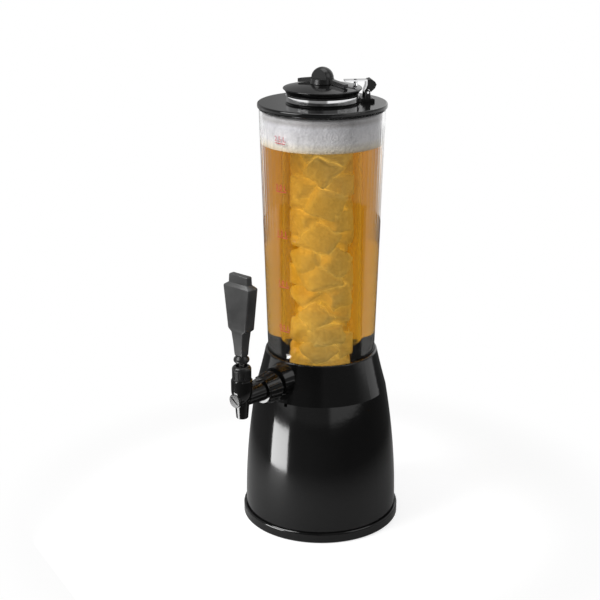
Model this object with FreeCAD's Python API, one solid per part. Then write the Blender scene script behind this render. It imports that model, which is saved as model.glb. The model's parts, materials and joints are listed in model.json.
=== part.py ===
import FreeCAD, Part
import math
import os

# Beer tower dispenser, in millimetres. +Z is up, the tap points to -Y,
# and the origin is the centre of the rubber pad on the table.

# Running and assembly clearances
fit_gap = 0.3
pin_gap = 0.08
press_gap = 0.02
ball_gap = 0.08

# Rubber pad and base plate
base_pad_r = 70.0
base_pad_proud = 0.6
base_pad_recess = 0.8
plate_r = 80.0
plate_top = 11.0
plate_edge_r = 4.0
plate_ledge = 7.5
plate_screw_ring_r = 56.0
plate_floor = 5.0

# Lower shell and collar, outer profile as height and radius
shell_foot_r = 77.3
shell_low_z = 36.0
shell_low_r = 77.0
shell_mid_z = 77.0
shell_mid_r = 74.6
shell_high_z = 117.6
shell_high_r = 69.8
seam_z = 141.3
seam_r = 66.0
collar_mid_z = 161.7
collar_mid_r = 60.6
rim_z = 180.8
rim_r = 56.4
shell_wall = 3.0
shell_gap = 0.8
seam_spigot = 7.0
notch_width = 3.5
notch_height = 3.0
notch_turn = 9.5

# Deck that carries the tank, and its screw posts
deck_top = 126.0
deck_thick = 3.0
deck_hole_r = 16.0
deck_rib_count = 8
deck_rib_thick = 2.0
deck_rib_height = 14.0
post_r = 4.5
post_hole_r = 1.6
plate_screw_count = 4
screw_r = 1.5
screw_head_r = 3.4
screw_head_h = 2.2
screw_bite = 10.0
plate_screw_web = 1.2
screw_slot_w = 0.7
screw_slot_d = 0.8

# Tank
tank_floor_z = 128.5
tank_wall = 3.0
tank_floor_thick = 4.0
tank_foot_r = 56.6
tank_foot_thick = 3.0
tank_taper = 0.030
tank_rim_r = 60.9
tank_top_z = 424.0

# Collar inner skirt that clamps the tank foot
skirt_wall = 2.4
collar_post_ring_r = 59.6
collar_post_r = 2.6
collar_screw_count = 4
collar_screw_start = 45.0
collar_screw_r = 1.2
collar_screw_head_r = 2.4
collar_screw_head_h = 1.6
collar_screw_bite = 8.0

# Tap axis and shank
tap_z = 160.0
boss_z = 163.0
boss_root_r = 16.0
boss_face_r = 14.5
boss_face_y = 68.5
shank_r = 7.0
shank_bore_r = 4.5
shank_head_r = 11.0
shank_head_thick = 3.0
shank_end_y = 80.0
pad_r = 12.0
pad_in_y = 47.5
pad_out_y = 54.0
gasket_in_thick = 2.0
gasket_out_thick = 1.5
gasket_r = 11.2
locknut_flats = 24.0
locknut_thick = 4.0
nut_gap = 0.5
nut_back_r = 15.0
nut_front_r = 12.6
nut_length = 16.5
rib_count = 18
rib_r = 1.1
coupling_gasket_thick = 1.5
inlet_flange_r = 9.5
inlet_flange_thick = 3.0
inlet_r = 8.0

# Tap body and spout
tap_y = 115.0
tap_bore_r = 5.5
spout_end_z = 140.0
spout_end_r = 5.8
spout_top_z = 158.0
spout_top_r = 7.2
spout_bore_r = 4.2
bulb_low_z = 167.0
bulb_r = 10.4
bulb_top_z = 179.8
neck_r = 8.2
neck_top_z = 185.0
throat_low_r = 6.8
throat_top_r = 5.0
throat_low_z = 165.0
throat_top_z = 178.0
front_boss_r = 7.3
front_face_y = 123.0
front_disc_r = 6.9
front_disc_thick = 2.5
front_slot_w = 1.6
front_slot_d = 1.2
front_slot_turn = 35.0
plug_start_y = 118.9
guide_depth = 1.5

# Valve
seat_y = 98.0
seat_thick = 3.5
seat_bore_r = 3.7
stem_r = 2.2
washer_r = 4.8
washer_thick = 2.0
shaft_nut_flats = 6.2
shaft_nut_thick = 3.0
stem_tail = 1.5
eye_r = 3.6
eye_length = 7.2
eye_slot_half = 2.8
tip_r = 2.45

# Lever, ball joint and bonnet
pivot_z = 184.0
ball_r = 5.0
finger_r = 1.5
lever_stem_r = 2.6
lever_stud_z = 224.0
ball_washer_low = 180.2
ball_washer_top = 182.5
ball_washer_r = 7.0
friction_low = 185.2
friction_top = 187.0
bonnet_low_z = 180.1
bonnet_side_z = 189.5
bonnet_top_z = 193.5
bonnet_r = 9.3
bonnet_top_r = 7.3
bonnet_hole_low_r = 4.4
bonnet_hole_top_r = 6.0
bonnet_flute_count = 12
bonnet_flute_r = 0.9

# Ferrule and handle
ferrule_low_z = 196.6
ferrule_low_r = 5.0
ferrule_ring_z = 199.6
ferrule_ring_top = 208.6
ferrule_r = 8.0
ferrule_top_z = 212.8
ferrule_top_r = 6.2
grip_foot_r = 5.8
grip_neck_r = 7.8
grip_neck_z = 236.0
paddle_low_z = 240.0
paddle_low_w = 20.0
paddle_low_t = 13.0
paddle_top_z = 271.5
paddle_top_w = 32.0
paddle_top_t = 15.0
ledge_z = 275.2
block_w = 25.0
block_t = 8.6
block_top_z = 284.0
paddle_edge = 0.9

# Lid, neck and its gasket
lid_gasket_thick = 1.0
lid_r = 62.5
lid_thick = 5.0
lid_edge = 1.6
lid_plug_depth = 9.0
lid_plug_wall = 2.4
neck_out_r = 34.3
neck_in_r = 31.4
neck_top = 437.0
lid_rib_count = 12
lid_rib_thick = 1.6
lid_rib_height = 3.5

# Ice tube, hung from the lid by a short threaded collar
ice_r = 29.0
ice_wall = 1.8
ice_bottom_z = 152.0
ice_collar_r = 31.0
ice_collar_h = 8.0
ice_collar_top_z = 431.0
ice_flange_r = 33.6
ice_flange_thick = 2.5

# Chrome neck band
band_low = 432.0
band_high = 437.0
band_thick = 1.0

# Filler cap and wing knob
cap_low_z = 437.6
cap_skirt_r = 34.6
cap_edge_z = 443.0
cap_edge_r = 37.8
cap_dome_z = 448.0
cap_thick = 2.2
cap_plug_r = 31.0
cap_plug_low_z = 433.5
cap_seal_thick = 1.6
knob_length = 60.0
knob_thick = 5.2
knob_dome_r = 11.0
knob_apex_z = 463.4
knob_arm_z = 448.6
knob_arm_droop = 5.0
knob_foot_r = 12.0

# Hinge of the cap
hinge_turn = 50.0
hinge_r = 42.6
hinge_z = 439.2
hinge_pin_r = 1.1
hinge_width = 12.0
lug_thick = 1.8
lug_gap = 0.3
knuckle_r = 2.7
lug_r = 2.2
foot_in_r = 36.2
foot_out_r = 49.2
foot_top_z = 433.4
strap_width = 9.0
strap_thick = 1.2
strap_z = 450.6
strap_end_r = 21.0
rivet_ring_r = 31.9
rivet_r = 1.8
rivet_post_r = 1.3
rivet_head_h = 0.6
lever_out_r = 51.2
lever_top_z = 451.4

# Values that follow from the ones above
plate_under = base_pad_proud
shell_low = plate_top
collar_low = seam_z - seam_spigot
lid_low = tank_top_z + lid_gasket_thick
lid_top = lid_low + lid_thick
locknut_y = boss_face_y
nut_y = locknut_y + locknut_thick + nut_gap
inlet_y = shank_end_y + coupling_gasket_thick
tap_dir = FreeCAD.Vector(0, -1, 0)


def vec(x, y, z):
    return FreeCAD.Vector(x, y, z)


def turned(shape, degrees, count_axis=vec(0, 0, 1), centre=vec(0, 0, 0)):
    copy = shape.copy()
    copy.rotate(centre, count_axis, degrees)
    return copy


def ring_of(shape, count, start=0.0):
    return [turned(shape, start + i * 360.0 / count) for i in range(count)]


def poly_revolve(points):
    # closed outline in the XZ half plane, as radius and height, turned about Z
    corners = [vec(r, 0, z) for r, z in points]
    wire = Part.makePolygon(corners + [corners[0]])
    return Part.Face(wire).revolve(vec(0, 0, 0), vec(0, 0, 1), 360)


def edges_revolve(edges):
    wire = Part.Wire(edges)
    return Part.Face(wire).revolve(vec(0, 0, 0), vec(0, 0, 1), 360)


def line(a, b):
    return Part.LineSegment(vec(a[0], 0, a[1]), vec(b[0], 0, b[1])).toShape()


def arc(a, mid, b):
    points = [vec(p[0], 0, p[1]) for p in (a, mid, b)]
    return Part.Arc(*points).toShape()


def curve(points):
    spline = Part.BSplineCurve()
    spline.interpolate([vec(r, 0, z) for r, z in points])
    return spline.toShape()


def along_tap(radius, start, length, z=tap_z):
    # round bar along the tap axis, from a distance out from the tower axis
    return Part.makeCylinder(radius, length, vec(0, -start, z), tap_dir)


def cone_tap(r_start, r_end, start, length, z=tap_z):
    return Part.makeCone(r_start, r_end, length, vec(0, -start, z), tap_dir)


def at_tap(shape):
    # a shape made about Z moves to the vertical axis of the tap
    shape.translate(vec(0, -tap_y, 0))
    return shape


def hex_prism(flats, thick, start, z=tap_z):
    radius = flats / math.sqrt(3)
    corners = []
    for i in range(6):
        angle = math.radians(60 * i)
        corners.append(vec(radius * math.cos(angle), -start, z + radius * math.sin(angle)))
    face = Part.Face(Part.makePolygon(corners + [corners[0]]))
    return face.extrude(vec(0, -thick, 0))


def fuse_all(shapes):
    body = shapes[0].multiFuse(shapes[1:])
    return body.removeSplitter()


def save(name, shape):
    os.makedirs("parts", exist_ok=True)
    shape.exportStep("parts/" + name + ".step")


def outer_radius(z):
    # outer surface of the bell from the base plate to the collar rim
    zs = [shell_low, shell_low_z, shell_mid_z, shell_high_z, seam_z, collar_mid_z, rim_z]
    rs = [shell_foot_r, shell_low_r, shell_mid_r, shell_high_r, seam_r, collar_mid_r, rim_r]
    for i in range(len(zs) - 1):
        if z <= zs[i + 1]:
            share = (z - zs[i]) / (zs[i + 1] - zs[i])
            return rs[i] + share * (rs[i + 1] - rs[i])
    return rim_r


def tank_radius(z):
    # outer surface of the tapered tank
    return tank_rim_r - tank_taper * (tank_top_z - z)


# Base plate: a turned disc with a rounded edge and a ledge for the shell
def base_plate():
    edge = plate_edge_r
    lift = edge * (1 - math.sqrt(0.5))
    lip_r = shell_foot_r + shell_gap
    ledge_r = shell_foot_r - shell_wall - fit_gap
    outline = [
        line((0, plate_under), (plate_r - 1.0, plate_under)),
        line((plate_r - 1.0, plate_under), (plate_r, plate_under + 1.0)),
        line((plate_r, plate_under + 1.0), (plate_r, plate_top - edge + 1.0)),
        arc((plate_r, plate_top - edge + 1.0),
            (plate_r - 0.4 * lift, plate_top - 0.6),
            (plate_r - 1.0, plate_top)),
        line((plate_r - 1.0, plate_top), (lip_r, plate_top)),
        line((lip_r, plate_top), (lip_r, plate_ledge)),
        line((lip_r, plate_ledge), (ledge_r, plate_ledge)),
        line((ledge_r, plate_ledge), (ledge_r, plate_top)),
        line((ledge_r, plate_top), (ledge_r - shell_wall, plate_top)),
        line((ledge_r - shell_wall, plate_top), (ledge_r - shell_wall, plate_floor)),
        line((ledge_r - shell_wall, plate_floor), (0, plate_floor)),
        line((0, plate_floor), (0, plate_under)),
    ]
    plate = edges_revolve(outline)
    recess = Part.makeCylinder(base_pad_r + fit_gap, base_pad_recess, vec(0, 0, plate_under))
    plate = plate.cut(recess)
    hole = Part.makeCylinder(screw_r + fit_gap, plate_top, vec(plate_screw_ring_r, 0, 0))
    sink_top = plate_floor - plate_screw_web
    sink = Part.makeCylinder(screw_head_r + fit_gap, sink_top, vec(plate_screw_ring_r, 0, 0))
    return plate.cut(Part.makeCompound(ring_of(hole.fuse(sink), plate_screw_count)))


# Rubber pad let into the underside of the plate
def base_pad():
    return Part.makeCylinder(base_pad_r, plate_under + base_pad_recess, vec(0, 0, 0))


def screw(shaft_r, shaft_len, head_r, head_h, x, z):
    # head below, shaft upwards; z is the underside of the head
    head = Part.makeCylinder(head_r, head_h, vec(x, 0, z))
    shaft = Part.makeCylinder(shaft_r, shaft_len, vec(x, 0, z + head_h))
    slot = Part.makeBox(head_r * 1.3, screw_slot_w, screw_slot_d,
                        vec(x - head_r * 0.65, -screw_slot_w / 2, z))
    return head.fuse(shaft).removeSplitter().cut(slot)


# Lower shell: a tapered bell moulding with a deck, ribs and screw posts
def shell_outline_points(top, inset):
    zs = [shell_low_z, shell_mid_z, shell_high_z]
    rs = [shell_low_r, shell_mid_r, shell_high_r]
    points = [(shell_foot_r - inset, plate_ledge)]
    points += [(r - inset, z) for r, z in zip(rs, zs) if z < top]
    points += [(outer_radius(top) - inset, top)]
    return points


def lower_shell():
    outer = shell_outline_points(seam_z, 0)
    inner = shell_outline_points(seam_z, shell_wall)
    outline = [
        curve(outer),
        line(outer[-1], inner[-1]),
        curve(inner),
        line(inner[0], outer[0]),
    ]
    shell = edges_revolve(outline)
    deck_r = outer_radius(deck_top) - shell_wall + 0.6
    deck = Part.makeCylinder(deck_r, deck_thick, vec(0, 0, deck_top - deck_thick))
    rib_len = deck_r - deck_hole_r
    rib_z = deck_top - deck_thick - deck_rib_height
    rib_face = Part.Face(Part.makePolygon([
        vec(deck_hole_r, 0, deck_top - deck_thick),
        vec(deck_hole_r + rib_len, 0, deck_top - deck_thick),
        vec(deck_hole_r + rib_len, 0, rib_z),
        vec(deck_hole_r + 8.0, 0, rib_z + 6.0),
        vec(deck_hole_r, 0, deck_top - deck_thick - 4.0),
        vec(deck_hole_r, 0, deck_top - deck_thick),
    ]))
    rib = rib_face.extrude(vec(0, deck_rib_thick, 0))
    rib.translate(vec(0, -deck_rib_thick / 2, 0))
    post_len = deck_top - deck_thick - plate_floor - fit_gap
    post = Part.makeCylinder(post_r, post_len, vec(plate_screw_ring_r, 0, plate_floor + fit_gap))
    parts = [shell, deck]
    parts += ring_of(rib, deck_rib_count, 22.5)
    parts += ring_of(post, plate_screw_count)
    body = fuse_all(parts)
    bore = Part.makeCylinder(post_hole_r, screw_bite + 2, vec(plate_screw_ring_r, 0, plate_floor))
    cuts = ring_of(bore, plate_screw_count)
    hole = Part.makeCylinder(collar_screw_r + 0.2, 20, vec(collar_post_ring_r, 0, deck_top - 10))
    cuts += ring_of(hole, collar_screw_count, collar_screw_start)
    cuts += [Part.makeCylinder(deck_hole_r, 20, vec(0, 0, deck_top - 12))]
    notch = Part.makeBox(shell_wall * 2.4, notch_width, notch_height,
                         vec(seam_r - shell_wall * 1.4, -notch_width / 2, seam_z - notch_height))
    cuts += [turned(notch, -90 + notch_turn)]
    return body.cut(Part.makeCompound(cuts))


# Collar: the upper bell moulding, with the tap boss and an inner clamping skirt
def collar():
    skirt_in_low = tank_radius(collar_low) + fit_gap
    rim_in = tank_radius(rim_z) + fit_gap
    foot_over = tank_floor_z + tank_foot_thick + fit_gap
    spigot_r = outer_radius(seam_z) - shell_wall - fit_gap
    outer = [(seam_r, seam_z), (collar_mid_r, collar_mid_z), (rim_r, rim_z - 1.2)]
    skirt_out = tank_radius(rim_z) + fit_gap + skirt_wall
    outline = [
        curve([(r, z) for r, z in outer]),
        arc(outer[-1], (rim_r - 0.4, rim_z - 0.3), (rim_r - 1.4, rim_z)),
        line((rim_r - 1.4, rim_z), (rim_in, rim_z)),
        line((rim_in, rim_z), (skirt_in_low, foot_over)),
        line((skirt_in_low, foot_over), (skirt_out - 0.8, foot_over)),
        line((skirt_out - 0.8, foot_over), (skirt_out - 0.2, rim_z - 14.0)),
        line((skirt_out - 0.2, rim_z - 14.0), (seam_r - shell_wall - 3.4, seam_z + 3.0)),
        line((seam_r - shell_wall - 3.4, seam_z + 3.0), (spigot_r - 2.0, collar_low)),
        line((spigot_r - 2.0, collar_low), (spigot_r, collar_low)),
        line((spigot_r, collar_low), (spigot_r, seam_z)),
        line((spigot_r, seam_z), (seam_r, seam_z)),
    ]
    body = edges_revolve(outline)
    boss_start = pad_out_y + gasket_out_thick
    boss = cone_tap(boss_root_r + 0.8, boss_face_r, boss_start, boss_face_y - boss_start, boss_z)
    post_z = deck_top + fit_gap
    post = Part.makeCylinder(collar_post_r, 26, vec(collar_post_ring_r, 0, post_z))
    inside = collar_core()
    posts = [p.common(inside) for p in ring_of(post, collar_screw_count, collar_screw_start)]
    body = fuse_all([body, boss] + posts)
    tank_room = Part.makeCone(tank_radius(foot_over) + fit_gap, tank_radius(rim_z + 30) + fit_gap,
                              rim_z + 30 - foot_over, vec(0, 0, foot_over))
    body = body.cut(tank_room)
    pad_room = along_tap(pad_r + fit_gap, pad_in_y, pad_out_y + gasket_out_thick - pad_in_y)
    bore = along_tap(shank_r + fit_gap, pad_in_y, boss_face_y)
    pilot = Part.makeCylinder(collar_screw_r, collar_screw_bite, vec(collar_post_ring_r, 0, post_z))
    cuts = [pad_room, bore] + ring_of(pilot, collar_screw_count, collar_screw_start)
    return body.cut(Part.makeCompound(cuts))


def dome_arc(edge_r, edge_z, top_z):
    # circular arc from an edge point up to the axis, level where it meets the axis
    rise = top_z - edge_z
    radius = (edge_r ** 2 + rise ** 2) / (2 * rise)
    half = math.asin(edge_r / radius) / 2
    mid = (radius * math.sin(half), top_z - radius * (1 - math.cos(half)))
    return arc((edge_r, edge_z), mid, (0, top_z))


def collar_core():
    # the space between tank and bell that the screw posts may fill
    return poly_revolve([
        (tank_foot_r + 0.6, deck_top + fit_gap),
        (seam_r - shell_wall - 1.0, deck_top + fit_gap),
        (seam_r - shell_wall - 1.0, seam_z),
        (collar_mid_r - 1.5, collar_mid_z),
        (tank_foot_r + 0.6, collar_mid_z),
    ])


# Tank: a tapered clear tumbler with a clamped foot and flat pads round the tap hole
def tank():
    rim = tank_rim_r
    low_r = tank_radius(tank_floor_z)
    outline = [
        line((0, tank_floor_z), (tank_foot_r, tank_floor_z)),
        line((tank_foot_r, tank_floor_z), (tank_foot_r, tank_floor_z + tank_foot_thick)),
        line((tank_foot_r, tank_floor_z + tank_foot_thick),
             (tank_radius(tank_floor_z + tank_foot_thick), tank_floor_z + tank_foot_thick)),
        line((tank_radius(tank_floor_z + tank_foot_thick), tank_floor_z + tank_foot_thick),
             (rim, tank_top_z)),
        line((rim, tank_top_z), (rim - tank_wall, tank_top_z)),
        line((rim - tank_wall, tank_top_z),
             (low_r - tank_wall, tank_floor_z + tank_floor_thick)),
        line((low_r - tank_wall, tank_floor_z + tank_floor_thick),
             (0, tank_floor_z + tank_floor_thick)),
        line((0, tank_floor_z + tank_floor_thick), (0, tank_floor_z)),
    ]
    body = edges_revolve(outline)
    pad = along_tap(pad_r, pad_in_y, pad_out_y - pad_in_y)
    body = fuse_all([body, pad])
    return body.cut(along_tap(shank_r + fit_gap, pad_in_y - 5, 20))


def tank_seat_ring():
    inner = tank_foot_r - 9.0
    height = tank_floor_z - deck_top
    ring = Part.makeCylinder(tank_foot_r - 0.6, height, vec(0, 0, deck_top))
    return ring.cut(Part.makeCylinder(inner, height, vec(0, 0, deck_top)))


# Shank: a headed hollow stud through the tank wall and the boss
def shank():
    head_y = pad_in_y - gasket_in_thick - shank_head_thick
    head = along_tap(shank_head_r, head_y, shank_head_thick)
    stud = along_tap(shank_r, head_y, shank_end_y - head_y)
    body = fuse_all([head, stud])
    return body.cut(along_tap(shank_bore_r, head_y - 1, shank_end_y))


def washer_ring(outer, inner, start, thick):
    return along_tap(outer, start, thick).cut(along_tap(inner, start - 1, thick + 2))


def shank_locknut():
    nut = hex_prism(locknut_flats, locknut_thick, locknut_y)
    round_off = along_tap(locknut_flats / 2 + 1.2, locknut_y, locknut_thick)
    nut = nut.common(round_off)
    return nut.cut(along_tap(shank_r + pin_gap, locknut_y - 1, locknut_thick + 2))


# Coupling nut: a tapered hand nut with grip ribs, over the flange of the tap inlet
def coupling_nut():
    body = cone_tap(nut_back_r, nut_front_r, nut_y, nut_length)
    ribs = []
    slope = math.atan2(nut_back_r - nut_front_r, nut_length)
    for i in range(rib_count):
        rib = Part.makeCylinder(rib_r, nut_length - 3.0, vec(0, 0, 0), tap_dir)
        rib.rotate(vec(0, 0, 0), vec(1, 0, 0), math.degrees(slope))
        rib.translate(vec(0, -(nut_y + 1.5), tap_z + nut_back_r - 0.3))
        rib.rotate(vec(0, 0, tap_z), vec(0, 1, 0), i * 360.0 / rib_count)
        ribs.append(rib)
    body = fuse_all([body] + ribs)
    flange_end = inlet_y + inlet_flange_thick
    thread = along_tap(shank_r + pin_gap, nut_y - 1, shank_end_y - nut_y + 1.2)
    room = along_tap(inlet_flange_r + fit_gap, shank_end_y, flange_end + fit_gap - shank_end_y)
    front = along_tap(inlet_r + fit_gap, flange_end, nut_length)
    return body.cut(Part.makeCompound([thread, room, front]))


# Tap body: spout, bulb, bonnet neck, inlet tube and front boss in one casting
def faucet_body():
    bulb = [
        line((0, spout_end_z), (spout_end_r - 0.6, spout_end_z)),
        line((spout_end_r - 0.6, spout_end_z), (spout_end_r, spout_end_z + 0.6)),
        line((spout_end_r, spout_end_z + 0.6), (spout_top_r, spout_top_z)),
        curve([(spout_top_r, spout_top_z), (bulb_r - 1.1, (spout_top_z + bulb_low_z) / 2),
               (bulb_r, bulb_low_z + 3.0)]),
        line((bulb_r, bulb_low_z + 3.0), (bulb_r, bulb_top_z - 0.8)),
        line((bulb_r, bulb_top_z - 0.8), (bulb_r - 0.8, bulb_top_z)),
        line((bulb_r - 0.8, bulb_top_z), (neck_r, bulb_top_z)),
        line((neck_r, bulb_top_z), (neck_r, neck_top_z)),
        line((neck_r, neck_top_z), (0, neck_top_z)),
        line((0, neck_top_z), (0, spout_end_z)),
    ]
    body = at_tap(edges_revolve(bulb))
    inlet = along_tap(inlet_r, inlet_y, tap_y - inlet_y)
    flange = along_tap(inlet_flange_r, inlet_y, inlet_flange_thick)
    cone_y = nut_y + nut_length + fit_gap
    cone = cone_tap(inlet_r + 2.2, inlet_r + 0.4, cone_y, tap_y - 3.0 - cone_y)
    boss = along_tap(front_boss_r, tap_y, front_face_y - tap_y)
    body = fuse_all([body, inlet, flange, cone, boss])
    chamber_out = along_tap(tap_bore_r, seat_y + seat_thick, front_face_y)
    chamber_in = along_tap(tap_bore_r, inlet_y - 1, seat_y - inlet_y + 1)
    seat = along_tap(seat_bore_r, seat_y - 1, seat_thick + 2)
    spout = at_tap(Part.makeCylinder(spout_bore_r, 25, vec(0, 0, spout_end_z - 1)))
    throat_low = at_tap(Part.makeCylinder(throat_low_r, 5, vec(0, 0, throat_low_z - 5)))
    throat = at_tap(Part.makeCone(throat_low_r, throat_top_r, throat_top_z - throat_low_z,
                                  vec(0, 0, throat_low_z)))
    top = at_tap(Part.makeCylinder(throat_top_r, 10, vec(0, 0, throat_top_z)))
    counter = at_tap(Part.makeCylinder(ball_washer_r + 0.1, 10, vec(0, 0, ball_washer_low)))
    spot_face = along_tap(front_disc_r + fit_gap, front_face_y, 10)
    for cut in (chamber_out, chamber_in, seat, spout, throat_low, throat, top, counter, spot_face):
        body = body.cut(cut)
    return body


# Front plug: slotted disc whose bore guides the valve shaft
def front_plug():
    plug = along_tap(tap_bore_r - 0.05, plug_start_y, front_face_y - plug_start_y)
    disc = along_tap(front_disc_r, front_face_y, front_disc_thick)
    body = fuse_all([plug, disc])
    rim = [e for e in body.Edges if abs(e.BoundBox.YMin + front_face_y + front_disc_thick) < 0.01]
    body = body.makeFillet(0.8, rim[:1])
    face_y = -(front_face_y + front_disc_thick)
    slot = Part.makeBox(front_disc_r * 1.5, front_slot_d, front_slot_w,
                        vec(-front_disc_r * 0.75, face_y, tap_z - front_slot_w / 2))
    slot.rotate(vec(0, 0, tap_z), vec(0, 1, 0), front_slot_turn)
    guide = along_tap(stem_r + pin_gap, plug_start_y - 1, front_face_y + guide_depth - plug_start_y + 1)
    return body.cut(Part.makeCompound([slot, guide]))


# Valve shaft: a thin stem with an eye that the lever tip sits in
def valve_shaft():
    tail_y = seat_y - washer_thick - shaft_nut_thick - stem_tail
    tip_y = front_face_y + guide_depth - fit_gap
    stem = along_tap(stem_r, tail_y, tip_y - tail_y)
    eye = along_tap(eye_r, tap_y - eye_length / 2, eye_length)
    body = fuse_all([stem, eye])
    slot = Part.makeBox(2 * eye_slot_half, 2 * eye_slot_half, 4 * eye_r,
                        vec(-eye_slot_half, -tap_y - eye_slot_half, tap_z - 2 * eye_r))
    return body.cut(slot)


def seat_washer():
    return washer_ring(washer_r, stem_r + pin_gap, seat_y - washer_thick, washer_thick)


def shaft_nut():
    start = seat_y - washer_thick - shaft_nut_thick
    nut = hex_prism(shaft_nut_flats, shaft_nut_thick, start)
    return nut.cut(along_tap(stem_r + pin_gap, start - 1, shaft_nut_thick + 2))


# Ball washer and friction washer: rings with a ball-shaped seat
def ball_ring(low, top, radius):
    ring = Part.makeCylinder(radius, top - low, vec(0, 0, low))
    ball = Part.makeSphere(ball_r + ball_gap, vec(0, 0, pivot_z))
    return at_tap(ring.cut(ball))


def bonnet():
    shoulder = ((bonnet_r + bonnet_top_r) / 2 + 0.5, (bonnet_side_z + bonnet_top_z) / 2 + 0.6)
    bore_r = neck_r + pin_gap
    outline = [
        line((bore_r, bonnet_low_z), (bonnet_r, bonnet_low_z)),
        line((bonnet_r, bonnet_low_z), (bonnet_r, bonnet_side_z)),
        arc((bonnet_r, bonnet_side_z), shoulder, (bonnet_top_r, bonnet_top_z)),
        line((bonnet_top_r, bonnet_top_z), (bonnet_hole_top_r, bonnet_top_z)),
        line((bonnet_hole_top_r, bonnet_top_z), (bonnet_hole_low_r, friction_top)),
        line((bonnet_hole_low_r, friction_top), (bore_r, friction_top)),
        line((bore_r, friction_top), (bore_r, bonnet_low_z)),
    ]
    body = edges_revolve(outline)
    flute = Part.makeCylinder(bonnet_flute_r, 6.5, vec(bonnet_r + 0.45, 0, bonnet_low_z + 1.5))
    body = body.cut(Part.makeCompound(ring_of(flute, bonnet_flute_count)))
    return at_tap(body)


# Tap lever: tip, finger, ball, stem and stud in one turned piece
def tap_lever():
    finger = Part.makeCylinder(finger_r, pivot_z - tap_z, vec(0, 0, tap_z))
    tip = Part.makeSphere(tip_r, vec(0, 0, tap_z))
    ball = Part.makeSphere(ball_r, vec(0, 0, pivot_z))
    stem = Part.makeCylinder(lever_stem_r, lever_stud_z - pivot_z, vec(0, 0, pivot_z))
    nib = Part.makeCone(lever_stem_r, lever_stem_r - 0.6, 1.0, vec(0, 0, lever_stud_z))
    body = fuse_all([finger, tip, ball, stem, nib])
    return at_tap(body)


def ferrule():
    waist = ferrule_r - 0.9
    mid = (ferrule_ring_z + ferrule_ring_top) / 2
    outline = [
        line((0, ferrule_low_z), (ferrule_low_r, ferrule_low_z)),
        line((ferrule_low_r, ferrule_low_z), (ferrule_r, ferrule_ring_z)),
        arc((ferrule_r, ferrule_ring_z), (waist, mid), (ferrule_r, ferrule_ring_top)),
        line((ferrule_r, ferrule_ring_top), (ferrule_top_r, ferrule_top_z)),
        line((ferrule_top_r, ferrule_top_z), (0, ferrule_top_z)),
        line((0, ferrule_top_z), (0, ferrule_low_z)),
    ]
    body = edges_revolve(outline)
    bore = Part.makeCylinder(lever_stem_r + pin_gap, 30, vec(0, 0, ferrule_low_z - 1))
    return at_tap(body.cut(bore))


def rounded_rect(width, thick, corner, z):
    # closed wire centred on the tap axis, corners as arcs
    x = width / 2
    y = thick / 2
    c = corner
    k = c * (1 - math.sqrt(0.5))
    edges = []
    marks = [(x - c, y), (x, y - c), (x, -y + c), (x - c, -y),
             (-x + c, -y), (-x, -y + c), (-x, y - c), (-x + c, y)]
    mids = [(x - k, y - k), (x - k, -y + k), (-x + k, -y + k), (-x + k, y - k)]
    for i in range(4):
        a = marks[2 * i]
        b = marks[2 * i + 1]
        n = marks[(2 * i + 2) % 8]
        edges.append(Part.Arc(vec(a[0], a[1], z), vec(mids[i][0], mids[i][1], z),
                              vec(b[0], b[1], z)).toShape())
        edges.append(Part.LineSegment(vec(b[0], b[1], z), vec(n[0], n[1], z)).toShape())
    return Part.Wire(edges)


# Paddle handle: round stem, flared paddle, sloping ledge and a narrower top block
def tap_handle():
    foot = rounded_rect(2 * grip_foot_r, 2 * grip_foot_r, grip_foot_r - 0.6, ferrule_top_z + 0.05)
    neck = rounded_rect(2 * grip_neck_r, 2 * grip_neck_r - 2.0, 5.0, grip_neck_z)
    stem = Part.makeLoft([foot, neck], True, True)
    low = rounded_rect(paddle_low_w, paddle_low_t, paddle_edge, paddle_low_z)
    top = rounded_rect(paddle_top_w, paddle_top_t, paddle_edge, paddle_top_z)
    ledge = rounded_rect(block_w + 0.8, block_t + 0.8, paddle_edge, ledge_z)
    under = rounded_rect(2 * grip_neck_r - 0.6, 2 * grip_neck_r - 3.0, 4.0, grip_neck_z)
    chin = Part.makeLoft([under, low], True, True)
    paddle = Part.makeLoft([low, top], True, True)
    slope = Part.makeLoft([top, ledge], True, True)
    block_low = rounded_rect(block_w, block_t, paddle_edge, ledge_z - 1.0)
    block_mid = rounded_rect(block_w - 0.6, block_t - 0.6, paddle_edge, block_top_z - 0.8)
    block_high = rounded_rect(block_w - 2.0, block_t - 2.0, paddle_edge, block_top_z)
    block = Part.makeLoft([block_low, block_mid, block_high], True, True)
    body = fuse_all([stem, chin, paddle, slope, block])
    bore = Part.makeCylinder(lever_stem_r + pin_gap, lever_stud_z + 1.5 - ferrule_top_z,
                             vec(0, 0, ferrule_top_z))
    return at_tap(body.cut(bore))


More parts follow.
